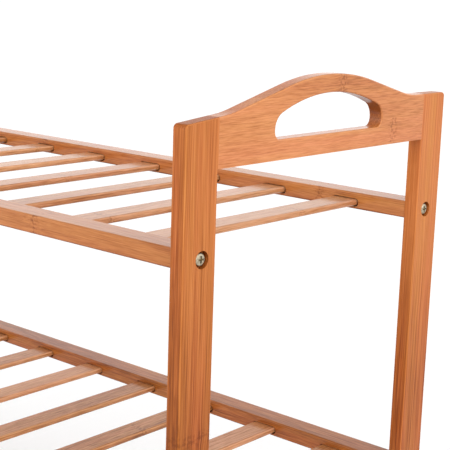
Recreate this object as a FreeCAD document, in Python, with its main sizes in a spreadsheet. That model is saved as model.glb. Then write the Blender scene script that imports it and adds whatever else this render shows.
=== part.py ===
import FreeCAD, Part
import Sketcher
import math
import os

# Slatted bamboo shoe bench: three tiers of slats between two end frames. Each end frame is two posts joined
# by an arched handle panel. Millimetres, +Z up, +X along the bench, +Y to the rear. The origin is on the
# floor, under the middle of the bench. A "rise" is a height above the top tier's rails, which carry the seat.

Vector = FreeCAD.Vector

SIZES = [
    ("bench_length", 910, "over the end frames' outer faces"),
    ("bench_depth", 280, "over the posts' front and rear edges"),
    ("seat_height", 460.5, "floor to the top of the top tier's rails"),
    ("tier_pitch", 206, "from one tier's rail tops to the next"),
    ("tier_count", 3, "number of tiers"),
    ("post_thickness", 11, "along X"),
    ("post_width", 28.5, "along Y"),
    ("front_edge_rise", 75.6, "top of a front post, at its outer edge"),
    ("front_joint_rise", 78.4, "top of a front post, at the panel"),
    ("rear_rise", 80.6, "level top of a rear post"),
    ("post_corner_radius", 3, "rounded outer top corner of a post"),
    ("frame_edge_radius", 1.2, "eased edges of posts and panels"),
    ("inner_edge_radius", 1, "eased inner edges of a post, below the panel"),
    ("foot_chamfer", 0.8, "bevel round the foot of a post"),
    ("panel_bottom_rise", 47.5, "lower edge of a handle panel"),
    ("crown_rise", 99.5, "top of the arch"),
    ("crown_radius", 174, "crown curve of the arch"),
    ("valley_radius", 80, "hollow curve at the foot of the arch"),
    ("front_valley_offset", 113.3, "from the panel's middle to the front hollow's centre"),
    ("rear_valley_offset", 104.3, "from the panel's middle to the rear hollow's centre"),
    ("grip_width", 117, "hand hole along Y"),
    ("grip_bottom_rise", 60.6, "flat lower edge of the hand hole"),
    ("grip_top_rise", 87.4, "top of the hand hole's arch"),
    ("grip_arch_radius", 135, "arch of the hand hole"),
    ("grip_low_radius", 5.5, "lower corners of the hand hole"),
    ("grip_high_radius", 11, "upper corners of the hand hole"),
    ("rail_setback", 7.5, "from a post's outer edge to the rail"),
    ("rail_depth", 20.5, "along Y"),
    ("rail_height", 12.8, "along Z"),
    ("rail_edge_radius", 1.5, "eased long edges of a rail"),
    ("slat_count", 12, "slats in one tier"),
    ("slat_inset", 65, "from the bench's end to the middle of its last slat"),
    ("slat_width", 22, "along X"),
    ("slat_thickness", 4.8, "along Z"),
    ("slat_edge_radius", 1.8, "rounded long edges of a slat"),
    ("slat_drop", 5.1, "from the rail's top down to the slat's top"),
    ("mortise_depth", 10, "into the rail, with the slat's end against the bottom of it"),
    ("mortise_gap_above", 0.5, "between the slat's top and the mortise"),
    ("mortise_gap_below", 1.1, "between the slat's underside and the mortise"),
    ("mortise_gap_beside", 1.4, "between each edge of the slat and the mortise"),
    ("screw_setback", 16.5, "from a post's outer edge to a screw's axis"),
    ("screw_drop", 5.8, "from the rail's top down to a screw's axis"),
    ("screw_hole_diameter", 4.6, "clearance hole through a post"),
    ("counterbore_diameter", 11.2, "sunk seat for a screw head"),
    ("counterbore_depth", 3.6, "below the post's outer face"),
    ("pilot_diameter", 4.2, "hole in a rail's end, at the thread's outer size"),
    ("pilot_depth", 33, "into the rail's end"),
    ("head_diameter", 9, "pan head"),
    ("head_height", 2.8, "pan head"),
    ("head_rim_radius", 2, "rounded rim of the pan head"),
    ("shank_diameter", 4, "plain shank, and over the thread"),
    ("core_diameter", 2.9, "root of the thread"),
    ("plain_length", 10, "plain shank under the head"),
    ("screw_length", 38, "under the head, point included"),
    ("point_length", 4, "tapered point"),
    ("thread_pitch", 2, "spacing of the thread's ridges"),
    ("thread_ridges", 12, "ridges on one screw"),
    ("ridge_root", 0.2, "how far a ridge's foot is let into the core"),
    ("recess_span", 4.6, "across the cross recess"),
    ("recess_slot", 1.3, "width of the cross recess's arms"),
    ("recess_depth", 1.8, "depth of the cross recess"),
    ("dowel_diameter", 6, "dowel between panel and post"),
    ("dowel_length", 30, "along Y"),
    ("dowel_chamfer", 0.8, "bevelled dowel ends"),
    ("dowel_hole_diameter", 6.2, "hole for a dowel"),
    ("dowel_hole_depth", 15.5, "in the post and in the panel"),
    ("low_dowel_rise", 55.5, "lower dowel's axis"),
    ("high_dowel_rise", 71.5, "upper dowel's axis"),
]

TIERS = ("top", "middle", "bottom")
ENDS = {"right": 1, "left": -1}
SIDES = {"front": -1, "rear": 1}

# Each side's post top: its rise at the outer edge and at the panel. The panel carries on at the same slope.
POST_TOPS = {"front": ("front_edge_rise", "front_joint_rise"), "rear": ("rear_rise", "rear_rise")}
FRONT_FALL = "atan( ( front_joint_rise - front_edge_rise ) / post_width )"

ORIGIN = (-1, 1)
START, END, CENTRE = 1, 2, 3
TOLERANCE = 0.001

doc = FreeCAD.newDocument("shoe_bench")


# ---- the sheet of sizes, and formulas over it ----

def make_sheet():
    """Spreadsheet with one driving dimension in each row: its name, its value and what it means."""
    sizes = doc.addObject("Spreadsheet::Sheet", "Sizes")
    for row, (alias, number, meaning) in enumerate(SIZES, start=1):
        sizes.set(f"A{row}", alias)
        sizes.set(f"B{row}", str(number))
        sizes.set(f"C{row}", meaning)
        sizes.setAlias(f"B{row}", alias)
    doc.recompute()
    return sizes


sheet = make_sheet()
ALIASES = {alias for alias, number, meaning in SIZES}


def formula(words):
    """Expression over the sheet, from words parted by spaces, such as 'rail_depth / 2'."""
    return " ".join(f"Sizes.{word}" if word in ALIASES else word for word in words.split())


def size(words):
    """The number that a formula gives."""
    return float(sheet.evalExpression(formula(words)))


def bind(thing, prop, words):
    """Ties a property to a formula over the sheet."""
    thing.setExpression(prop, formula(words))


# ---- bodies, sketches and their constraints ----

def new_body(label):
    body = doc.addObject("PartDesign::Body", label)
    body.Label = label
    return body


def origin_feature(body, role):
    return next(feature for feature in body.Origin.OriginFeatures if feature.Role == role)


def new_sketch(body, name, plane, offset="0"):
    """Sketch on one of the body's own planes, moved along the plane's normal by a formula."""
    sketch = body.newObject("Sketcher::SketchObject", name)
    sketch.AttachmentSupport = [(origin_feature(body, plane), "")]
    sketch.MapMode = "FlatFace"
    bind(sketch, ".AttachmentOffset.Base.z", offset)
    return sketch


def measure(sketch, kind, first, second, words):
    """Distance constraint from one point to the next, which takes a formula of either sign."""
    number = size(words)
    if number < 0:
        first, second = second, first
        words = f"-1 * ( {words} )"
    index = sketch.addConstraint(Sketcher.Constraint(kind, *first, *second, abs(number)))
    bind(sketch, f"Constraints[{index}]", words)


def place_point(sketch, point, across, up):
    """Fixes a point of the sketch by two formulas, measured from the sketch's origin."""
    for kind, words, axis in (("DistanceX", across, -2), ("DistanceY", up, -1)):
        if abs(size(words)) < TOLERANCE:
            sketch.addConstraint(Sketcher.Constraint("PointOnObject", *point, axis))
        else:
            measure(sketch, kind, ORIGIN, point, words)


def add_circle(sketch, across, up, diameter):
    centre = Vector(size(across), size(up), 0)
    circle = sketch.addGeometry(Part.Circle(centre, Vector(0, 0, 1), size(diameter) / 2))
    index = sketch.addConstraint(Sketcher.Constraint("Diameter", circle, size(diameter)))
    bind(sketch, f"Constraints[{index}]", diameter)
    place_point(sketch, (circle, CENTRE), across, up)


def add_line(sketch, start, end):
    return sketch.addGeometry(Part.LineSegment(Vector(*start, 0), Vector(*end, 0)))


def add_arc(sketch, centre, radius, start_angle, end_angle):
    circle = Part.Circle(Vector(*centre, 0), Vector(0, 0, 1), radius)
    return sketch.addGeometry(Part.ArcOfCircle(circle, start_angle, end_angle))


def join(sketch, kind, first, second):
    sketch.addConstraint(Sketcher.Constraint(kind, *first, *second))


def add_polygon(sketch, corners):
    """Closed outline of straight lines, with each corner fixed by a pair of formulas."""
    points = [(size(across), size(up)) for across, up in corners]
    lines = []
    for start, end in zip(points, points[1:] + points[:1]):
        lines.append(add_line(sketch, start, end))
    for line, following in zip(lines, lines[1:] + lines[:1]):
        join(sketch, "Coincident", (line, END), (following, START))
    for line, (across, up) in zip(lines, corners):
        place_point(sketch, (line, START), across, up)


def add_centred_box(sketch, width, height):
    left, right = f"-1 * ( {width} ) / 2", f"( {width} ) / 2"
    low, high = f"-1 * ( {height} ) / 2", f"( {height} ) / 2"
    add_polygon(sketch, [(left, low), (right, low), (right, high), (left, high)])


# ---- features ----

def pad(body, name, sketch, length, reverse=False, midplane=False):
    feature = body.newObject("PartDesign::Pad", name)
    feature.Profile = sketch
    feature.Reversed = reverse
    if midplane:
        feature.SideType = "Symmetric"
    bind(feature, "Length", length)
    doc.recompute()
    return feature


def pocket(body, name, sketch, depth, reverse=False):
    """Cut of a stated depth. It stops the build if the cut takes nothing away."""
    before = body.Shape.Volume
    feature = body.newObject("PartDesign::Pocket", name)
    feature.Profile = sketch
    feature.Reversed = reverse
    bind(feature, "Length", depth)
    doc.recompute()
    if body.Shape.Volume > before - TOLERANCE:
        raise RuntimeError(f"{body.Label}: {name} cuts nothing")
    return feature


def revolve(body, name, sketch):
    feature = body.newObject("PartDesign::Revolution", name)
    feature.Profile = sketch
    feature.ReferenceAxis = (sketch, ["H_Axis"])
    doc.recompute()
    return feature


def edges_where(shape, test):
    return [f"Edge{number}" for number, edge in enumerate(shape.Edges, start=1) if test(edge.BoundBox)]


def dress(body, kind, name, amount, test):
    """Fillet or chamfer of the edges whose bounding boxes pass a test."""
    base = body.Tip
    feature = body.newObject(f"PartDesign::{kind}", name)
    feature.Base = (base, edges_where(base.Shape, test))
    bind(feature, "Radius" if kind == "Fillet" else "Size", amount)
    doc.recompute()
    return feature


def row_of(body, name, features, axis, extent, count):
    """Evenly spaced copies of features along one of the body's axes."""
    pattern = body.newObject("PartDesign::LinearPattern", name)
    pattern.Originals = features
    pattern.Direction = (origin_feature(body, axis), [""])
    bind(pattern, "Length", extent)
    bind(pattern, "Occurrences", count)
    body.Tip = pattern
    doc.recompute()
    return pattern


def grid_of_whole_piece(body, name, first, second):
    """Copies of everything made so far, in a grid. Each direction is an axis, an extent and a count."""
    pattern = body.newObject("PartDesign::LinearPattern", name)
    pattern.TransformMode = "Whole shape"
    pattern.Direction = (origin_feature(body, first[0]), [""])
    bind(pattern, "Length", first[1])
    bind(pattern, "Occurrences", first[2])
    pattern.Direction2 = (origin_feature(body, second[0]), [""])
    bind(pattern, "Length2", second[1])
    bind(pattern, "Occurrences2", second[2])
    body.Tip = pattern
    doc.recompute()
    return pattern


def near(number, target):
    return abs(number - target) < TOLERANCE


def flat_in(low, high, target):
    """True if a bounding box's side is closed up at one coordinate."""
    return near(low, target) and near(high, target)


def put(body, across, back, up, turn=0):
    """Placement bound to formulas, turned about the vertical by whole degrees."""
    body.Placement = FreeCAD.Placement(Vector(0, 0, 0), FreeCAD.Rotation(Vector(0, 0, 1), turn))
    bind(body, ".Placement.Base.x", across)
    bind(body, ".Placement.Base.y", back)
    bind(body, ".Placement.Base.z", up)


def tier_level(tier):
    """Formula for the height of a tier's rail tops."""
    return f"seat_height - {TIERS.index(tier)} * tier_pitch"


# ---- end frames ----

def make_post(end, side):
    """Upright lath. Its own frame has the outer face at x = 0 and the outer edge at y = 0, so each post is a
    half turn of the one in the opposite corner. Material lies towards -X where inward is -1."""
    body = new_body(f"{side}_{end}_post")
    turned = side == "rear"
    inward = -ENDS[end] * (-1 if turned else 1)
    into_post = inward > 0
    outer_top, joint_top = [f"seat_height + {rise}" for rise in POST_TOPS[side]]

    profile = new_sketch(body, "post_profile", "YZ_Plane")
    add_polygon(profile, [("0", "0"), ("post_width", "0"), ("post_width", joint_top), ("0", outer_top)])
    pad(body, "post_lath", profile, "post_thickness", reverse=inward < 0)

    corner_height = size(outer_top)
    width = size("post_width")
    back_face = inward * size("post_thickness")

    def is_outer_top_corner(box):
        return flat_in(box.YMin, box.YMax, 0) and flat_in(box.ZMin, box.ZMax, corner_height)

    def is_eased_outline(box):
        on_a_face = flat_in(box.XMin, box.XMax, 0) or flat_in(box.XMin, box.XMax, back_face)
        at_the_foot = near(box.ZMax, 0)
        at_the_panel = near(box.YMin, width)
        return on_a_face and not at_the_foot and not at_the_panel

    def is_foot_outline(box):
        return near(box.ZMax, 0)

    dress(body, "Fillet", "top_corner", "post_corner_radius", is_outer_top_corner)
    dress(body, "Fillet", "eased_outline", "frame_edge_radius", is_eased_outline)

    for face, label in ((0, "outer"), (1, "inner")):
        waste = new_sketch(body, f"{label}_edge_waste", "XY_Plane")
        add_corner_waste(waste, inward, face)
        pocket(body, f"{label}_edge_easing", waste, "seat_height + panel_bottom_rise", reverse=True)

    for diameter, depth, name in (
        ("screw_hole_diameter", "post_thickness", "screw_holes"),
        ("counterbore_diameter", "counterbore_depth", "counterbores"),
    ):
        holes = new_sketch(body, f"{name}_layout", "YZ_Plane")
        for tier in TIERS:
            add_circle(holes, "screw_setback", f"{tier_level(tier)} - screw_drop", diameter)
        pocket(body, name, holes, depth, reverse=into_post)

    dowels = new_sketch(body, "dowel_layout", "XZ_Plane", offset="-1 * post_width")
    for rise in ("low_dowel_rise", "high_dowel_rise"):
        middle = f"{inward} * post_thickness / 2"
        add_circle(dowels, middle, f"seat_height + {rise}", "dowel_hole_diameter")
    pocket(body, "dowel_holes", dowels, "dowel_hole_depth", reverse=True)
    dress(body, "Chamfer", "foot_bevel", "foot_chamfer", is_foot_outline)

    put(body, f"{ENDS[end]} * bench_length / 2", f"{SIDES[side]} * bench_depth / 2", "0",
        turn=180 if turned else 0)
    return body


def add_corner_waste(sketch, inward, face):
    """The little piece between a square corner and its rounding: a post's inner edge, at its outer or inner
    face."""
    radius = size("inner_edge_radius")
    corner_x = inward * face * size("post_thickness")
    corner_y = size("post_width")
    into_x = inward if face == 0 else -inward
    centre = (corner_x + into_x * radius, corner_y - radius)
    tip = (corner_x, corner_y)
    on_face = (corner_x, corner_y - radius)
    on_edge = (corner_x + into_x * radius, corner_y)

    along_face = add_line(sketch, tip, on_face)
    along_edge = add_line(sketch, on_edge, tip)
    angles = (math.pi / 2, math.pi) if into_x > 0 else (0, math.pi / 2)
    rounding = add_arc(sketch, centre, radius, *angles)
    face_point, edge_point = (END, START) if into_x > 0 else (START, END)

    join(sketch, "Coincident", (along_edge, END), (along_face, START))
    join(sketch, "Tangent", (along_face, END), (rounding, face_point))
    join(sketch, "Tangent", (along_edge, START), (rounding, edge_point))
    sketch.addConstraint(Sketcher.Constraint("Vertical", along_face))
    sketch.addConstraint(Sketcher.Constraint("Horizontal", along_edge))
    index = sketch.addConstraint(Sketcher.Constraint("Radius", rounding, radius))
    bind(sketch, f"Constraints[{index}]", "inner_edge_radius")
    place_point(sketch, (along_face, START), f"{inward * face} * post_thickness", "post_width")


def make_handle_panel(end):
    """Arched board between two posts, with a half-moon hand hole. Its own frame has the outer face at x = 0,
    the bench's middle at y = 0 and the seat at z = 0, with material towards -X."""
    body = new_body(f"{end}_handle_panel")
    outline = new_sketch(body, "panel_outline", "YZ_Plane")
    add_panel_outline(outline, front=-ENDS[end])
    pad(body, "panel_board", outline, "post_thickness", reverse=True)

    hole = new_sketch(body, "grip_outline", "YZ_Plane")
    add_grip_outline(hole)
    pocket(body, "grip_hole", hole, "post_thickness")

    half_panel = size("bench_depth / 2 - post_width")
    half_grip = size("grip_width / 2")
    thickness = size("post_thickness")
    grip_bottom = size("grip_bottom_rise")

    def is_across_grip_end(box):
        at_grip_end = flat_in(abs(box.YMin), abs(box.YMax), half_grip)
        return at_grip_end and near(box.XLength, thickness) and box.ZLength < TOLERANCE

    def is_low_corner(box):
        return is_across_grip_end(box) and near(box.ZMin, grip_bottom)

    def is_high_corner(box):
        return is_across_grip_end(box) and box.ZMin > grip_bottom + TOLERANCE

    def is_eased_outline(box):
        on_a_face = flat_in(box.XMin, box.XMax, 0) or flat_in(box.XMin, box.XMax, -thickness)
        at_a_post = flat_in(abs(box.YMin), abs(box.YMax), half_panel)
        return on_a_face and not at_a_post

    dress(body, "Fillet", "low_grip_corners", "grip_low_radius", is_low_corner)
    dress(body, "Fillet", "high_grip_corners", "grip_high_radius", is_high_corner)
    dress(body, "Fillet", "eased_outline", "frame_edge_radius", is_eased_outline)

    for side, sign in SIDES.items():
        layout = new_sketch(body, f"{side}_dowel_layout", "XZ_Plane",
                            offset=f"{-sign} * ( bench_depth / 2 - post_width )")
        for rise in ("low_dowel_rise", "high_dowel_rise"):
            add_circle(layout, "-1 * post_thickness / 2", rise, "dowel_hole_diameter")
        pocket(body, f"{side}_dowel_holes", layout, "dowel_hole_depth", reverse=sign > 0)

    put(body, f"{ENDS[end]} * bench_length / 2", "0", "seat_height", turn=0 if end == "right" else 180)
    return body


def hollow_shape(side):
    """Slope of the panel's top edge beside a post, height of the hollow's centre, and slope of the flank."""
    radius = size("valley_radius")
    offset = size(f"{side}_valley_offset")
    fall = math.radians(size(FRONT_FALL)) if side == "front" else 0
    from_joint = size("bench_depth / 2 - post_width") - offset
    height = size(POST_TOPS[side][1]) + from_joint * math.tan(fall) + radius / math.cos(fall)
    drop = height - size("crown_rise - crown_radius")
    between_centres = math.hypot(offset, drop)
    slope = math.atan2(offset, drop) - math.acos((size("crown_radius") + radius) / between_centres)
    return fall, height, slope


def add_panel_outline(sketch, front):
    """Flat lower edge and square ends. The top edge has a crown, straight flanks and hollows, and it runs
    straight into the posts' tops. Front is the sign of the sketch's side that faces the bench's front."""
    half = size("bench_depth / 2 - post_width")
    bottom = size("panel_bottom_rise")
    crown_radius = size("crown_radius")
    crown_height = size("crown_rise - crown_radius")
    valley_radius = size("valley_radius")
    sides = {front: "front", -front: "rear"}
    shapes = {sign: hollow_shape(side) for sign, side in sides.items()}

    crown = add_arc(sketch, (0, crown_height), crown_radius,
                    math.pi / 2 - shapes[1][2], math.pi / 2 + shapes[-1][2])
    base = add_line(sketch, (-half, bottom), (half, bottom))
    index = sketch.addConstraint(Sketcher.Constraint("Radius", crown, crown_radius))
    bind(sketch, f"Constraints[{index}]", "crown_radius")
    place_point(sketch, (crown, CENTRE), "0", "crown_rise - crown_radius")

    for sign, crown_point, base_point in ((1, START, END), (-1, END, START)):
        side = sides[sign]
        fall, height, slope = shapes[sign]
        joint_rise = POST_TOPS[side][1]
        offset = size(f"{side}_valley_offset")
        crown_end = (sign * crown_radius * math.sin(slope), crown_height + crown_radius * math.cos(slope))
        steep_end, outer_end = ((sign * (offset - valley_radius * math.sin(lean)),
                                 height - valley_radius * math.cos(lean)) for lean in (slope, fall))
        corner = (sign * half, size(joint_rise))
        down = -math.pi / 2
        angles = sorted((down - sign * slope, down - sign * fall))

        flank = add_line(sketch, crown_end, steep_end)
        hollow = add_arc(sketch, (sign * offset, height), valley_radius, *angles)
        rim = add_line(sketch, corner, outer_end)
        upright = add_line(sketch, corner, (sign * half, bottom))
        steep_point, outer_point = (START, END) if sign > 0 else (END, START)

        join(sketch, "Tangent", (crown, crown_point), (flank, START))
        join(sketch, "Tangent", (flank, END), (hollow, steep_point))
        join(sketch, "Tangent", (hollow, outer_point), (rim, END))
        join(sketch, "Coincident", (rim, START), (upright, START))
        join(sketch, "Coincident", (upright, END), (base, base_point))
        sketch.addConstraint(Sketcher.Constraint("Vertical", upright))
        place_point(sketch, (upright, END), f"{sign} * ( bench_depth / 2 - post_width )", "panel_bottom_rise")
        measure(sketch, "DistanceY", ORIGIN, (upright, START), joint_rise)

        if side == "rear":
            sketch.addConstraint(Sketcher.Constraint("Horizontal", rim))
        else:
            tilt = FRONT_FALL if sign < 0 else f"180 deg - {FRONT_FALL}"
            index = sketch.addConstraint(Sketcher.Constraint("Angle", rim, math.radians(size(tilt))))
            bind(sketch, f"Constraints[{index}]", tilt)
        index = sketch.addConstraint(Sketcher.Constraint("Radius", hollow, valley_radius))
        bind(sketch, f"Constraints[{index}]", "valley_radius")
        measure(sketch, "DistanceX", ORIGIN, (hollow, CENTRE), f"{sign} * {side}_valley_offset")


def add_grip_outline(sketch):
    """Half-moon before its corners are rounded: flat bottom, short upright ends and an arched top."""
    half = size("grip_width / 2")
    bottom = size("grip_bottom_rise")
    radius = size("grip_arch_radius")
    centre_height = size("grip_top_rise - grip_arch_radius")
    shoulder = centre_height + math.sqrt(radius ** 2 - half ** 2)
    swing = math.asin(half / radius)

    base = add_line(sketch, (-half, bottom), (half, bottom))
    right = add_line(sketch, (half, bottom), (half, shoulder))
    arch = add_arc(sketch, (0, centre_height), radius, math.pi / 2 - swing, math.pi / 2 + swing)
    left = add_line(sketch, (-half, shoulder), (-half, bottom))

    join(sketch, "Coincident", (base, END), (right, START))
    join(sketch, "Coincident", (right, END), (arch, START))
    join(sketch, "Coincident", (arch, END), (left, START))
    join(sketch, "Coincident", (left, END), (base, START))
    sketch.addConstraint(Sketcher.Constraint("Vertical", right))
    sketch.addConstraint(Sketcher.Constraint("Vertical", left))
    index = sketch.addConstraint(Sketcher.Constraint("Radius", arch, radius))
    bind(sketch, f"Constraints[{index}]", "grip_arch_radius")
    place_point(sketch, (arch, CENTRE), "0", "grip_top_rise - grip_arch_radius")
    place_point(sketch, (base, START), "-1 * grip_width / 2", "grip_bottom_rise")
    place_point(sketch, (base, END), "grip_width / 2", "grip_bottom_rise")


# ---- tiers ----

def make_rail(tier, side):
    """Long rail. Its own frame has the bench's middle at x = 0, the outer face at y = 0 and the top at z = 0,
    so a rear rail is a half turn of a front rail."""
    body = new_body(f"{tier}_{side}_rail")
    section = new_sketch(body, "rail_section", "YZ_Plane")
    bottom = "-1 * rail_height"
    add_polygon(section, [("0", bottom), ("rail_depth", bottom), ("rail_depth", "0"), ("0", "0")])
    pad(body, "rail_bar", section, "bench_length - 2 * post_thickness", midplane=True)

    length = size("bench_length - 2 * post_thickness")
    dress(body, "Fillet", "eased_edges", "rail_edge_radius", lambda box: near(box.XLength, length))

    mouth = new_sketch(body, "mortise_mouth", "XZ_Plane", offset="-1 * rail_depth")
    add_mortise(mouth)
    mortise = pocket(body, "first_mortise", mouth, "mortise_depth", reverse=True)
    row_of(body, "mortises", [mortise], "X_Axis", "bench_length - 2 * slat_inset", "slat_count")

    for end, sign in ENDS.items():
        layout = new_sketch(body, f"{end}_pilot_layout", "YZ_Plane",
                            offset=f"{sign} * ( bench_length / 2 - post_thickness )")
        add_circle(layout, "screw_setback - rail_setback", "-1 * screw_drop", "pilot_diameter")
        pocket(body, f"{end}_pilot_hole", layout, "pilot_depth", reverse=sign < 0)

    put(body, "0", f"{SIDES[side]} * ( bench_depth / 2 - rail_setback )", tier_level(tier),
        turn=0 if side == "front" else 180)
    return body


def add_mortise(sketch):
    """Round-ended slot for the first slat's end."""
    end_radius = "( slat_thickness + mortise_gap_above + mortise_gap_below ) / 2"
    middle_height = f"mortise_gap_above - slat_drop - {end_radius}"
    from_middle = f"( slat_width / 2 + mortise_gap_beside - {end_radius} )"
    left_middle = f"slat_inset - bench_length / 2 - {from_middle}"
    right_middle = f"slat_inset - bench_length / 2 + {from_middle}"

    radius = size(end_radius)
    height = size(middle_height)
    left = size(left_middle)
    right = size(right_middle)
    right_end = add_arc(sketch, (right, height), radius, -math.pi / 2, math.pi / 2)
    left_end = add_arc(sketch, (left, height), radius, math.pi / 2, 3 * math.pi / 2)
    upper = add_line(sketch, (right, height + radius), (left, height + radius))
    lower = add_line(sketch, (left, height - radius), (right, height - radius))

    join(sketch, "Tangent", (right_end, END), (upper, START))
    join(sketch, "Tangent", (upper, END), (left_end, START))
    join(sketch, "Tangent", (left_end, END), (lower, START))
    join(sketch, "Tangent", (lower, END), (right_end, START))
    sketch.addConstraint(Sketcher.Constraint("Horizontal", upper))
    place_point(sketch, (right_end, CENTRE), right_middle, middle_height)
    place_point(sketch, (left_end, CENTRE), left_middle, middle_height)
    index = sketch.addConstraint(Sketcher.Constraint("Radius", right_end, radius))
    bind(sketch, f"Constraints[{index}]", end_radius)


def make_slat(tier, number):
    """Thin cross slat, let into both rails. Its own frame is centred on it."""
    body = new_body(f"{tier}_slat_{number:02d}")
    section = new_sketch(body, "slat_section", "XZ_Plane")
    add_centred_box(section, "slat_width", "slat_thickness")
    span = "bench_depth - 2 * ( rail_setback + rail_depth - mortise_depth )"
    pad(body, "slat_strip", section, span, midplane=True)

    length = size(span)
    dress(body, "Fillet", "rounded_edges", "slat_edge_radius", lambda box: near(box.YLength, length))

    spacing = "( bench_length - 2 * slat_inset ) / ( slat_count - 1 )"
    put(body, f"slat_inset - bench_length / 2 + {number - 1} * {spacing}", "0",
        f"{tier_level(tier)} - slat_drop - slat_thickness / 2")
    return body


# ---- fasteners ----

def make_screws(end):
    """One pan-head cross-recess screw for each rail end at this end of the bench. Each screw's own frame has
    the seat under its head at x = 0, and the head towards +X."""
    body = new_body(f"{end}_rail_screws")
    blank = new_sketch(body, "screw_half_section", "XZ_Plane")
    add_screw_half_section(blank)
    revolve(body, "screw_blank", blank)

    ridge = new_sketch(body, "ridge_half_section", "XZ_Plane")
    first_ridge = "-1 * plain_length"
    add_polygon(ridge, [
        (f"{first_ridge} - thread_pitch", "core_diameter / 2 - ridge_root"),
        (f"{first_ridge} - thread_pitch / 4", "core_diameter / 2 - ridge_root"),
        (f"{first_ridge} - thread_pitch / 2", "shank_diameter / 2"),
    ])
    first = revolve(body, "first_ridge", ridge)
    ridge_run = "( thread_ridges - 1 ) * thread_pitch"
    run = row_of(body, "thread_ridges", [first], "X_Axis", ridge_run, "thread_ridges")
    run.Reversed = True
    doc.recompute()

    for name, across, up in (
        ("upright_slot", "recess_slot", "recess_span"),
        ("level_slot", "recess_span", "recess_slot"),
    ):
        arm = new_sketch(body, f"{name}_outline", "YZ_Plane", offset="head_height")
        add_centred_box(arm, across, up)
        pocket(body, name, arm, "recess_depth")

    apart = "bench_depth - 2 * screw_setback"
    grid_of_whole_piece(
        body, "screw_grid",
        ("Y_Axis", apart, "2"),
        ("Z_Axis", "( tier_count - 1 ) * tier_pitch", "tier_count"),
    )
    sign = ENDS[end]
    put(body, f"{sign} * ( bench_length / 2 - counterbore_depth )", f"{-sign} * ( {apart} ) / 2",
        "seat_height - ( tier_count - 1 ) * tier_pitch - screw_drop", turn=0 if sign > 0 else 180)
    return body


def add_screw_half_section(sketch):
    """Upper half of a screw's long section: pan head, plain shank, thread core and point."""
    top = size("head_height")
    head = size("head_diameter / 2")
    rim = size("head_rim_radius")
    shank = size("shank_diameter / 2")
    core = size("core_diameter / 2")
    shoulder = -size("plain_length")
    taper = size("point_length - screw_length")
    tip = -size("screw_length")

    corners = [(top - rim, head), (0, head), (0, shank), (shoulder, shank), (shoulder, core), (taper, core),
               (tip, 0), (top, 0), (top, head - rim)]
    lines = [add_line(sketch, start, end) for start, end in zip(corners, corners[1:])]
    rounding = add_arc(sketch, (top - rim, head - rim), rim, 0, math.pi / 2)
    for line, following in zip(lines, lines[1:]):
        join(sketch, "Coincident", (line, END), (following, START))
    join(sketch, "Tangent", (lines[-1], END), (rounding, START))
    join(sketch, "Tangent", (rounding, END), (lines[0], START))
    sketch.addConstraint(Sketcher.Constraint("Horizontal", lines[0]))
    sketch.addConstraint(Sketcher.Constraint("Vertical", lines[-1]))

    index = sketch.addConstraint(Sketcher.Constraint("Radius", rounding, rim))
    bind(sketch, f"Constraints[{index}]", "head_rim_radius")
    fixed = [
        (1, "0", "head_diameter / 2"),
        (2, "0", "shank_diameter / 2"),
        (3, "-1 * plain_length", "shank_diameter / 2"),
        (4, "-1 * plain_length", "core_diameter / 2"),
        (5, "point_length - screw_length", "core_diameter / 2"),
        (6, "-1 * screw_length", "0"),
        (7, "head_height", "0"),
    ]
    for number, across, up in fixed:
        place_point(sketch, (lines[number], START), across, up)


def make_dowels(end):
    """The four dowels that join a handle panel to its posts. A dowel's own frame is centred on it."""
    body = new_body(f"{end}_handle_dowels")
    section = new_sketch(body, "dowel_section", "XZ_Plane")
    add_circle(section, "0", "0", "dowel_diameter")
    pad(body, "dowel_pin", section, "dowel_length", midplane=True)
    dress(body, "Chamfer", "dowel_bevels", "dowel_chamfer", lambda box: box.YLength < TOLERANCE)

    apart = "bench_depth - 2 * post_width"
    grid_of_whole_piece(
        body, "dowel_grid",
        ("Y_Axis", apart, "2"),
        ("Z_Axis", "high_dowel_rise - low_dowel_rise", "2"),
    )
    put(body, f"{ENDS[end]} * ( bench_length / 2 - post_thickness / 2 )", f"-1 * ( {apart} ) / 2",
        "seat_height + low_dowel_rise")
    return body


# ---- the whole bench ----

def make_bench():
    parts = []
    for end in ENDS:
        for side in SIDES:
            parts.append(make_post(end, side))
        parts.append(make_handle_panel(end))
        parts.append(make_dowels(end))
        parts.append(make_screws(end))
    for tier in TIERS:
        for side in SIDES:
            parts.append(make_rail(tier, side))
        for number in range(1, int(size("slat_count")) + 1):
            parts.append(make_slat(tier, number))
    return parts


def check(parts):
    """Stops the build on a failed object, or on a sub-part that isn't a sound solid."""
    doc.recompute()
    for thing in doc.Objects:
        if "Invalid" in thing.State or "Error" in thing.State:
            raise RuntimeError(f"{thing.Label} failed: {thing.State}")
    for part in parts:
        shape = part.Shape
        if shape.isNull() or not shape.isValid() or not shape.Solids:
            raise RuntimeError(f"{part.Label} has no sound shape")


def export(parts):
    os.makedirs("parts", exist_ok=True)
    for part in parts:
        part.Shape.exportStep(os.path.join("parts", f"{part.Label}.step"))


bench = make_bench()
check(bench)
export(bench)
print(f"{len(bench)} sub-parts written")
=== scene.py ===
import math

import bpy
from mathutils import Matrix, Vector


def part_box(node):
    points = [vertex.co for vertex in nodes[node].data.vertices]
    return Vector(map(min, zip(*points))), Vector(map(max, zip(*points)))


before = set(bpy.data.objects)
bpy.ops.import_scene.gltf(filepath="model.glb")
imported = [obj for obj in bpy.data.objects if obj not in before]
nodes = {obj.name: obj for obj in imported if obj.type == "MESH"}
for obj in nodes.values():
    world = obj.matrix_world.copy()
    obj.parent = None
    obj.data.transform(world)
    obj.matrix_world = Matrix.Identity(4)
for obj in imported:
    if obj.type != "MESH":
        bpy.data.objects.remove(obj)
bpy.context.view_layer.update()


# ---- shader helpers ----

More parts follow.
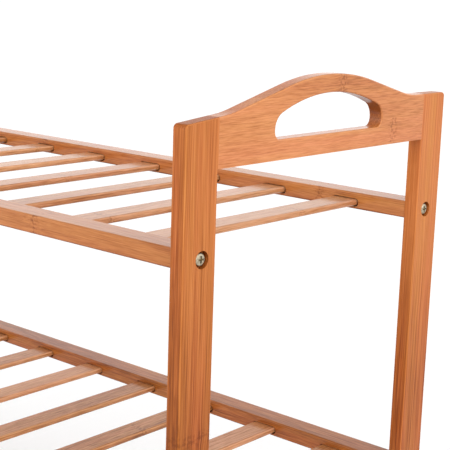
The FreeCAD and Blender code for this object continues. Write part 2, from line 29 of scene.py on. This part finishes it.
class Tree:
    """Adds shader nodes to a material or a world, and joins them up."""

    def __init__(self, owner):
        owner.use_nodes = True
        self.tree = owner.node_tree

    def add(self, kind, **settings):
        node = self.tree.nodes.new(kind)
        for key, value in settings.items():
            setattr(node, key, value)
        return node

    def link(self, source, target):
        if isinstance(source, (int, float)):
            target.default_value = source
        else:
            self.tree.links.new(source, target)

    def math(self, operation, first, second=0.0, third=0.0):
        node = self.add("ShaderNodeMath", operation=operation)
        for value, socket in zip((first, second, third), node.inputs):
            self.link(value, socket)
        return node.outputs[0]

    def add_up(self, total, parts):
        """The total with each part added to it, times the part's weight."""
        for part, weight in parts:
            total = self.math("MULTIPLY_ADD", part, weight, total)
        return total

    def split(self, vector):
        node = self.add("ShaderNodeSeparateXYZ")
        self.link(vector, node.inputs[0])
        return node.outputs

    def combine(self, x, y, z):
        node = self.add("ShaderNodeCombineXYZ")
        for value, socket in zip((x, y, z), node.inputs):
            self.link(value, socket)
        return node.outputs[0]

    def dot(self, vector, direction):
        node = self.add("ShaderNodeVectorMath", operation="DOT_PRODUCT")
        node.inputs[1].default_value = direction
        self.link(vector, node.inputs[0])
        return node.outputs["Value"]

    def noise(self, vector, scale, detail, roughness=0.5):
        node = self.add("ShaderNodeTexNoise")
        self.link(vector, node.inputs["Vector"])
        node.inputs["Scale"].default_value = scale
        node.inputs["Detail"].default_value = detail
        node.inputs["Roughness"].default_value = roughness
        return node.outputs[0]

    def streaky(self, spot, size, detail, roughness=0.5):
        """Noise at a spot, given across, through and along the grain. Size is its width and length."""
        across, through, along = spot
        width, length = size
        stretched = self.combine(self.math("DIVIDE", across, width),
                                 self.math("DIVIDE", through, width),
                                 self.math("DIVIDE", along, length))
        return self.noise(stretched, 1.0, detail, roughness)

    def random(self, vector):
        node = self.add("ShaderNodeTexWhiteNoise", noise_dimensions="3D")
        self.link(vector, node.inputs["Vector"])
        return node.outputs[0]

    def remap(self, value, low, high, to_low=0.0, to_high=1.0, smooth=False):
        node = self.add("ShaderNodeMapRange")
        node.interpolation_type = "SMOOTHSTEP" if smooth else "LINEAR"
        self.link(value, node.inputs["Value"])
        limits = {"From Min": low, "From Max": high, "To Min": to_low, "To Max": to_high}
        for key, number in limits.items():
            node.inputs[key].default_value = number
        return node.outputs[0]

    def ramp(self, value, stops):
        node = self.add("ShaderNodeValToRGB")
        elements = node.color_ramp.elements
        while len(elements) < len(stops):
            elements.new(0.5)
        for element, (position, colour) in zip(elements, stops):
            element.position = position
            element.color = (*colour, 1.0)
        self.link(value, node.inputs[0])
        return node.outputs[0]


class Material(Tree):
    """A new material with the sockets of its surface."""

    def __init__(self, name):
        self.data = bpy.data.materials.new(name)
        super().__init__(self.data)
        self.surface = self.tree.nodes["Principled BSDF"].inputs


# Most values of a noise lie between these.
NOISE_RANGE = (0.3, 0.7)


# ---- bamboo ----

# Sizes are in metres. Each grain is a width across the fibres and a length along them.
NODE_SPACING = 0.33
SHEET_STEP = 0.37           # how far the nodes move from sheet to sheet, as a share of their spacing
DRIFT_GRAIN = (0.03, 0.03)
CLOUD_GRAIN = (0.03, 0.2)
TINT_GRAIN = (0.009, 0.16)
SWIRL_REACH = 0.016         # how far from a node the fibres swirl
SWIRL_STRAY = 0.006
SPECK_GRAIN = (0.0022, 0.0022)
SPECK_REACH = (0.0015, 0.007)
SPECK_LEVELS = (0.48, 0.6)
LINE_WIDTH = (0.0002, 0.0011)
LINE_WAVE = 0.006
LINE_GRAIN = (0.006, 0.02)
LINE_LEVELS = (0.46, 0.58)
SEAM_WIDTH = 0.0003
PAINTED_SHADE_HEIGHTS = (0.3, 0.5)   # heights between which the painted shade lightens: darker toward the floor, where less light reaches
FACING_DOWN = (-0.6, -0.1)  # Z of the normals between which a face turns from underside to side

# How much the parts of the pattern, the painted shade and the painted highlight change the shade, from 0,
# dark, to 1, pale.
LINE_SHADE = -0.14
SEAM_SHADE = -0.05
# Painted shade on undersides.
UNDERSIDE_PAINTED_SHADE = -0.4
# Painted highlight on rounded edges, partly paler sanded wood there.
EDGE_WEAR_AND_HIGHLIGHT = 0.4

# How much they change the surface's height, next to the fibres' 1.
STREAK_RELIEF = 0.5
SEAM_RELIEF = -0.3
SPECK_RELIEF = -0.3
BUMP_STRENGTH = 0.2
BUMP_DEPTH = 0.0002

TINT_HUES = (0.496, 0.504)
BARE_GLOSS = 0.1
WOOD_ROUGHNESS = (0.5, 0.4)
COAT_ROUGHNESS = 0.16

# Which axes lie across, through and along each grain.
AXES = {"X": (1, 2, 0), "Y": (2, 0, 1), "Z": (1, 0, 2)}

# Red, green and blue of each shade, next to the middle one. Dark wood is redder, and light wood is paler.
SHADES = {0.0: (0.42, 0.32, 0.2), 0.3: (0.77, 0.68, 0.52), 0.5: (1.0, 1.0, 1.0),
          0.7: (1.15, 1.25, 1.4), 1.0: (1.35, 1.6, 2.1)}


def shade_stops(colour):
    """Colour ramp stops for bamboo with this middle colour."""
    stops = []
    for position, factors in SHADES.items():
        mixed = tuple(min(base * factor, 1.0) for base, factor in zip(colour, factors))
        stops.append((position, mixed))
    return stops


def node_marks(t, spot, past_node, drift):
    """The specks and the broken line at a node."""
    near = t.remap(t.math("ABSOLUTE", past_node), *SPECK_REACH, 1.0, 0.0, smooth=True)
    dots = t.streaky(spot, SPECK_GRAIN, detail=1.0)
    specks = t.math("MULTIPLY", t.remap(dots, *SPECK_LEVELS, smooth=True), near)
    wavy = t.math("ABSOLUTE", t.math("MULTIPLY_ADD", drift, LINE_WAVE, past_node))
    thin = t.remap(wavy, *LINE_WIDTH, 1.0, 0.0, smooth=True)
    gaps = t.streaky(spot, LINE_GRAIN, detail=1.0)
    line = t.math("MULTIPLY", thin, t.remap(gaps, *LINE_LEVELS, smooth=True))
    return specks, line


def plain_shade(t, place, painted_height_shade, dark_faces):
    """The shade before any grain: painted shade low down and on undersides, darker faces as set in
    dark_faces, and a painted highlight, partly paler sanded wood, on edges that are rounded between a
    face across X and the next."""
    height = t.split(place.outputs["Object"])["Z"]
    # painted shade: darker low down, where less light reaches
    shade = t.remap(height, *PAINTED_SHADE_HEIGHTS, *painted_height_shade, smooth=True)
    facing = t.add("ShaderNodeVectorMath", operation="ABSOLUTE")
    t.link(place.outputs["Normal"], facing.inputs[0])
    # end grain is darker wood; on the posts' faces across Y this is partly painted shade
    shade = t.math("SUBTRACT", shade, t.dot(facing.outputs[0], dark_faces))
    normal = t.split(place.outputs["Normal"])
    # painted shade on undersides
    underside = t.remap(normal["Z"], *FACING_DOWN, 1.0, 0.0)
    # painted highlight on rounded edges, partly paler sanded wood there
    sideways = t.math("MULTIPLY", normal["X"], normal["X"])
    flatness = t.math("ABSOLUTE", t.math("MULTIPLY_ADD", sideways, 2.0, -1.0))
    rounded = t.math("SUBTRACT", 1.0, flatness)
    return t.add_up(shade, ((underside, UNDERSIDE_PAINTED_SHADE), (rounded, EDGE_WEAR_AND_HIGHLIGHT)))


def bamboo(name, grain, colour, strips, layers, node_place, node_step, fibre, streak, wander,
           marks, variety, cloudy, seed, painted_height_shade, dark_faces, coat):
    """Lacquered bamboo, glued up from strips.
    grain       axis that the fibres run along
    colour      the middle shade
    strips      start and size of the pieces it is cut from, along the axis across the grain
    layers      the same along the third axis
    node_place  where the cane's node is in the first strip
    node_step   how far it moves from strip to strip, as a share of the nodes' spacing
    fibre       width, length and strength of the fine grain
    streak      width, length and strength of the broad grain
    wander      how far the grain strays
    marks       how dark the specks at a node are
    variety     how much the tone differs from piece to piece
    cloudy      how much the tone drifts within a piece
    seed        picks the pieces' tones
    painted_height_shade  painted shade low down and at the top, darker toward the floor
    dark_faces  how much darker it is on the faces across X, Y and Z, such as the end grain; the posts'
    faces
            across Y are darker partly from the bamboo's cut and partly as painted shade
    coat        how much lacquer it has"""
    t = Material(name)
    place = t.add("ShaderNodeTexCoord")
    parts = t.split(place.outputs["Object"])
    across, through, along = (parts[i] for i in AXES[grain])

    # the strip that a point is in
    place_across = t.math("DIVIDE", t.math("SUBTRACT", across, strips[0]), strips[1])
    place_through = t.math("DIVIDE", t.math("SUBTRACT", through, layers[0]), layers[1])
    row = t.math("FLOOR", place_across)
    sheet = t.math("FLOOR", place_through)
    tone = t.random(t.combine(row, sheet, seed))

    # how far the point is past its strip's nearest node
    step = t.math("MULTIPLY_ADD", sheet, SHEET_STEP, t.math("MULTIPLY", row, node_step))
    travel = t.math("DIVIDE", t.math("SUBTRACT", along, node_place), NODE_SPACING)
    turn = t.math("FRACT", t.math("ADD", t.math("SUBTRACT", travel, step), 0.5))
    past_node = t.math("MULTIPLY", t.math("SUBTRACT", turn, 0.5), NODE_SPACING)

    # the grain strays most around a node
    spot = (across, through, along)
    swirl = t.remap(t.math("ABSOLUTE", past_node), 0.0, SWIRL_REACH, 1.0, 0.0, smooth=True)
    drift = t.math("SUBTRACT", t.streaky(spot, DRIFT_GRAIN, detail=2.0), 0.5)
    stray = t.math("MULTIPLY_ADD", swirl, SWIRL_STRAY, 2.0 * wander)
    bent = (t.math("MULTIPLY_ADD", drift, stray, across), through, along)
    fibres = t.streaky(bent, fibre[:2], detail=2.0, roughness=0.6)
    streaks = t.streaky(bent, streak[:2], detail=2.0, roughness=0.55)
    clouds = t.streaky(bent, CLOUD_GRAIN, detail=2.0)
    tints = t.streaky(bent, TINT_GRAIN, detail=1.0)
    specks, line = node_marks(t, spot, past_node, drift)

    # glue lines between strips
    edge = t.math("ABSOLUTE", t.math("SUBTRACT", t.math("FRACT", place_across), 0.5))
    seam = t.remap(edge, 0.5 - SEAM_WIDTH / strips[1], 0.5, smooth=True)

    shade = plain_shade(t, place, painted_height_shade, dark_faces)
    for part, weight in ((fibres, fibre[2]), (streaks, streak[2]), (clouds, cloudy), (tone, variety)):
        shade = t.math("MULTIPLY_ADD", t.math("SUBTRACT", part, 0.5), weight, shade)
    shade = t.add_up(shade, ((specks, -marks), (line, LINE_SHADE), (seam, SEAM_SHADE)))
    wood = t.add("ShaderNodeHueSaturation")
    t.link(t.ramp(shade, shade_stops(colour)), wood.inputs["Color"])
    t.link(t.remap(tints, *NOISE_RANGE, *TINT_HUES), wood.inputs["Hue"])
    t.link(wood.outputs[0], t.surface["Base Color"])

    t.link(t.remap(fibres, *NOISE_RANGE, *WOOD_ROUGHNESS), t.surface["Roughness"])
    t.surface["Specular IOR Level"].default_value = BARE_GLOSS
    t.surface["Coat Weight"].default_value = coat
    t.surface["Coat Roughness"].default_value = COAT_ROUGHNESS

    relief = ((streaks, STREAK_RELIEF), (seam, SEAM_RELIEF), (specks, SPECK_RELIEF))
    bump = t.add("ShaderNodeBump")
    bump.inputs["Strength"].default_value = BUMP_STRENGTH
    bump.inputs["Distance"].default_value = BUMP_DEPTH
    t.link(t.add_up(fibres, relief), bump.inputs["Height"])
    t.link(bump.outputs[0], t.surface["Normal"])
    return t.data


def corner(node, axis):
    """Where a CAD node starts along an axis."""
    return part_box(node)[0]["XYZ".index(axis)]


# The steps between like pieces, so that each post, rail and slat starts a strip of its own. The margin
# keeps the faces of rails and slats off the border between two strips.
POST_GAP = corner("rear_right_post", "Y") - corner("front_right_post", "Y")
RAIL_GAP = corner("top_rear_rail", "Y") - corner("top_front_rail", "Y")
SLAT_GAP = corner("top_slat_02", "X") - corner("top_slat_01", "X")
TIER_GAP = corner("top_slat_01", "Z") - corner("middle_slat_01", "Z")
MARGIN = 0.001

# Strips from the front of one post to the front of the next, which makes a post about one strip deep.
POST_STRIPS = 7
# Height of a glue line in the handle panels, and the width of their strips.
PANEL_SEAM = 0.5054
PANEL_STRIP = 0.0211
# The bench's left and right halves, start and size.
HALVES = (0.0, 0.5)

# The posts carry painted shade: darker toward the floor, and on the faces across Y, which are partly a
# darker cut of the bamboo.
post_bamboo = bamboo(
    "post_bamboo", grain="Z", colour=(0.44, 0.128, 0.027),
    strips=(corner("front_right_post", "Y"), POST_GAP / POST_STRIPS),
    layers=HALVES,
    node_place=0.342, node_step=0.382,
    fibre=(0.0006, 0.06, 1.6), streak=(0.0015, 0.3, 0.3), wander=0.0005, marks=0.14,
    variety=0.3, cloudy=0.15, seed=1190.0,
    painted_height_shade=(0.29, 0.7), dark_faces=(0.0, 0.1, 0.3), coat=0.15)
panel_bamboo = bamboo(
    "panel_bamboo", grain="Y", colour=(0.515, 0.169, 0.048),
    strips=(PANEL_SEAM, PANEL_STRIP),
    layers=HALVES,
    node_place=0.073, node_step=0.406,
    fibre=(0.0006, 0.012, 1.1), streak=(0.0016, 0.05, 0.45), wander=0.0007, marks=0.28,
    variety=0.3, cloudy=0.65, seed=2420.0,
    painted_height_shade=(0.43, 0.53), dark_faces=(0.0, 0.3, 0.0), coat=0.55)
rail_bamboo = bamboo(
    "rail_bamboo", grain="X", colour=(0.43, 0.140, 0.032),
    strips=(corner("top_front_rail", "Y") - MARGIN, RAIL_GAP),
    layers=(corner("top_front_rail", "Z") - MARGIN, TIER_GAP),
    node_place=0.3115, node_step=0.162,
    fibre=(0.0007, 0.022, 1.2), streak=(0.002, 0.12, 0.6), wander=0.0009, marks=0.22,
    variety=0.16, cloudy=0.65, seed=0.0,
    painted_height_shade=(0.43, 0.53), dark_faces=(0.2, 0.0, 0.0), coat=0.55)
slat_bamboo = bamboo(
    "slat_bamboo", grain="Y", colour=(0.50, 0.213, 0.086),
    strips=(corner("top_slat_01", "Z") - MARGIN, TIER_GAP),
    layers=(corner("top_slat_01", "X") - MARGIN, SLAT_GAP),
    node_place=0.02, node_step=0.3,
    fibre=(0.0007, 0.016, 1.3), streak=(0.0017, 0.1, 0.7), wander=0.001, marks=0.22,
    variety=0.45, cloudy=0.65, seed=4615.0,
    painted_height_shade=(0.43, 0.53), dark_faces=(0.0, 0.2, 0.0), coat=0.55)


# ---- screws and dowels ----

SPOTS_PER_METRE = 900.0
ZINC_ROUGHNESS = (0.42, 0.25)
BEECH_GRAINS_PER_METRE = (900.0, 30.0, 900.0)
BEECH_ROUGHNESS = 0.7


def make_zinc():
    """Dull yellowish zinc with darker, rougher spots."""
    t = Material("screw_zinc")
    place = t.add("ShaderNodeTexCoord")
    spots = t.noise(place.outputs["Object"], scale=SPOTS_PER_METRE, detail=3.0, roughness=0.6)
    stops = [(0.3, (0.25, 0.21, 0.14)), (0.55, (0.50, 0.43, 0.31)), (0.8, (0.62, 0.56, 0.43))]
    t.link(t.ramp(spots, stops), t.surface["Base Color"])
    t.link(t.remap(spots, *NOISE_RANGE, *ZINC_ROUGHNESS), t.surface["Roughness"])
    t.surface["Metallic"].default_value = 1.0
    return t.data


def make_beech():
    """Bare beech, with its grain along the dowels."""
    t = Material("dowel_wood")
    place = t.add("ShaderNodeTexCoord")
    stretch = t.add("ShaderNodeMapping")
    stretch.inputs["Scale"].default_value = BEECH_GRAINS_PER_METRE
    t.link(place.outputs["Object"], stretch.inputs[0])
    grain = t.noise(stretch.outputs[0], scale=1.0, detail=3.0)
    stops = [(0.3, (0.45, 0.28, 0.14)), (0.7, (0.66, 0.48, 0.29))]
    t.link(t.ramp(grain, stops), t.surface["Base Color"])
    t.surface["Roughness"].default_value = BEECH_ROUGHNESS
    return t.data


screw_zinc = make_zinc()
beech = make_beech()


def paint(node, material):
    mesh = nodes[node].data
    mesh.materials.clear()
    mesh.materials.append(material)


for name in nodes:
    if name.endswith("_post"):
        paint(name, post_bamboo)
    elif name.endswith("_panel"):
        paint(name, panel_bamboo)
    elif name.endswith("_rail"):
        paint(name, rail_bamboo)
    elif "_slat_" in name:
        paint(name, slat_bamboo)
    elif name.endswith("_screws"):
        paint(name, screw_zinc)
    else:
        paint(name, beech)


# ---- floor, light and camera ----

FLOOR_REACH = 60.0
FLOOR_WHITE = (0.95, 0.95, 0.95, 1.0)
FLOOR_ROUGHNESS = 0.9

LIGHT_LEVEL = 1.03
HORIZON_LIGHT = 1.7
OVERHEAD_LIGHT = 0.92
SIDE_LIGHT = (1.0, -0.7, 0.0)
SKY_HEIGHTS = (0.1, 0.8)    # Z of the directions between which the light changes

LENS = 95.25
SENSOR_WIDTH = 36.0
CAMERA_PLACE = (0.9146, -0.6336, 0.6196)
CAMERA_ANGLES = (78.213, -1.848, 41.326)


def make_floor():
    mesh = bpy.data.meshes.new("floor")
    corners = [(-FLOOR_REACH, -FLOOR_REACH, 0), (FLOOR_REACH, -FLOOR_REACH, 0),
               (FLOOR_REACH, FLOOR_REACH, 0), (-FLOOR_REACH, FLOOR_REACH, 0)]
    mesh.from_pydata(corners, [], [(0, 1, 2, 3)])
    floor = bpy.data.objects.new("floor", mesh)
    bpy.context.scene.collection.objects.link(floor)
    matt_white = Material("floor_white")
    matt_white.surface["Base Color"].default_value = FLOOR_WHITE
    matt_white.surface["Roughness"].default_value = FLOOR_ROUGHNESS
    matt_white.surface["Specular IOR Level"].default_value = 0.0
    mesh.materials.append(matt_white.data)


def make_world():
    """Soft white room: bright near the horizon and dimmer overhead. The higher up, the more of its light
    comes from the front right."""
    world = bpy.data.worlds.new("studio")
    bpy.context.scene.world = world
    t = Tree(world)
    direction = t.add("ShaderNodeTexCoord").outputs["Generated"]
    height = t.split(direction)["Z"]
    limits = (HORIZON_LIGHT * LIGHT_LEVEL, OVERHEAD_LIGHT * LIGHT_LEVEL)
    rise = t.remap(height, *SKY_HEIGHTS, *limits, smooth=True)
    side = t.dot(direction, [part * LIGHT_LEVEL for part in SIDE_LIGHT])
    sky = t.tree.nodes["Background"]
    sky.inputs["Color"].default_value = (1.0, 1.0, 1.0, 1.0)
    t.link(t.math("MULTIPLY_ADD", side, height, rise), sky.inputs["Strength"])


def make_camera():
    data = bpy.data.cameras.new("camera")
    data.lens = LENS
    data.sensor_width = SENSOR_WIDTH
    data.clip_start = 0.05
    data.clip_end = 200.0
    camera = bpy.data.objects.new("camera", data)
    camera.location = CAMERA_PLACE
    camera.rotation_euler = [math.radians(angle) for angle in CAMERA_ANGLES]
    bpy.context.scene.collection.objects.link(camera)
    bpy.context.scene.camera = camera


make_floor()
make_world()
make_camera()
bpy.context.scene.view_settings.view_transform = "Standard"
